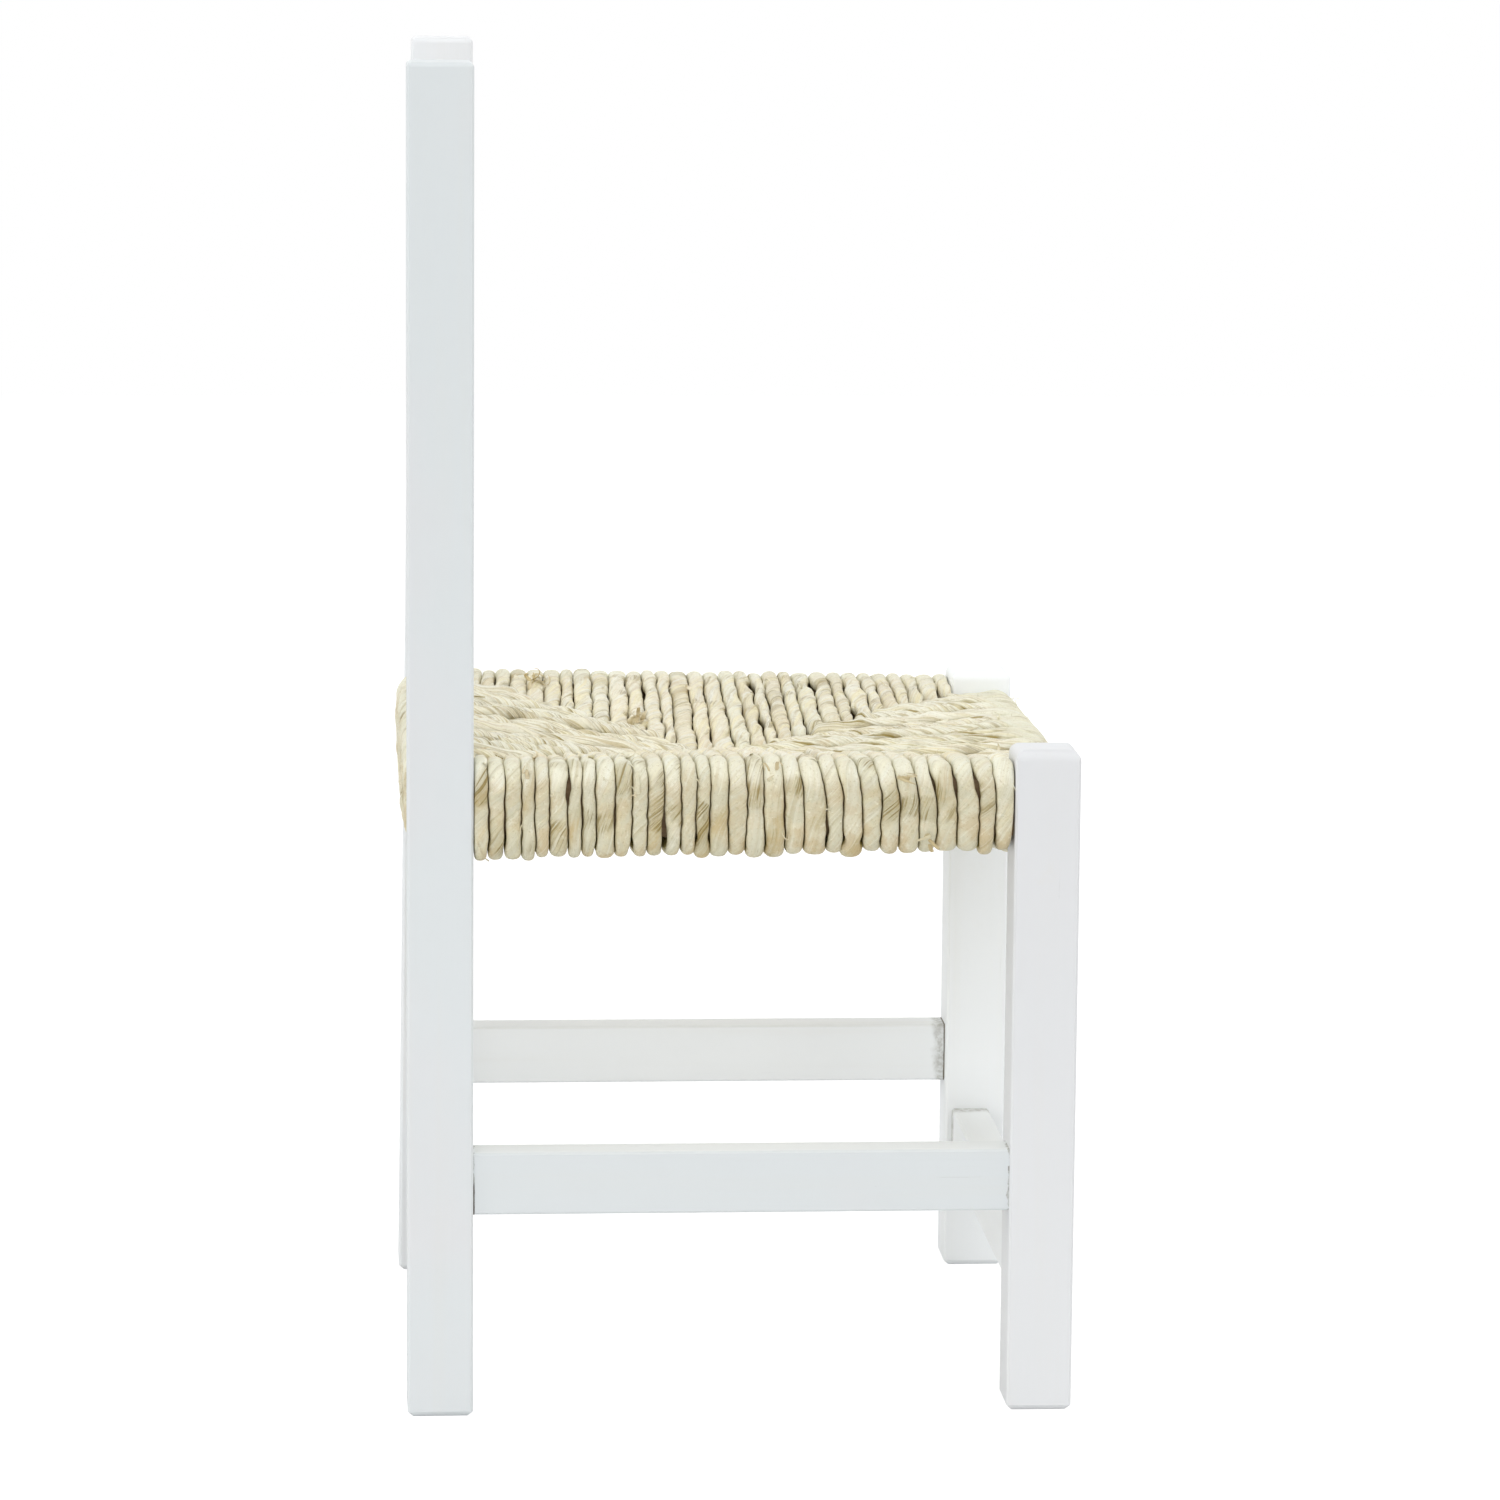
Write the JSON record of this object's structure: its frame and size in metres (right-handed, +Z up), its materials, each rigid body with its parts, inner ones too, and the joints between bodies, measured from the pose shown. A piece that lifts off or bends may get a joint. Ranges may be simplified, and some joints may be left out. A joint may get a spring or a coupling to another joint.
{
  "type": "childs chair",
  "caption": "Child's upright chair: white painted square-stock frame with ladder back and stretchers, and an envelope-woven palm cord seat",
  "frame": {"origin": "on the floor under the middle of the chair", "axes": "+X to the chair's front, +Y to its left side, +Z up"},
  "size_m": [0.298, 0.301, 0.6],
  "materials": {
    "white_paint": "satin white paint over softwood",
    "bare_wood": "sawn, unpainted",
    "palm_cord": "twisted dried palm leaf"
  },
  "bodies": {
    "root": {"back_post_left": "white_paint", "back_post_right": "white_paint", "front_leg_left": "white_paint", "front_leg_right": "white_paint", "seat_rail_left": "bare_wood", "seat_rail_right": "bare_wood", "seat_rail_front": "bare_wood", "seat_rail_back": "bare_wood", "side_stretcher_left": "white_paint", "side_stretcher_right": "white_paint", "front_stretcher": "white_paint", "back_stretcher": "white_paint", "back_slat_1": "white_paint", "back_slat_2": "white_paint", "back_slat_3": "white_paint", "seat_weave_left": "palm_cord", "seat_weave_right": "palm_cord", "seat_weave_front": "palm_cord", "seat_weave_back": "palm_cord"}
  },
  "joints": []
}
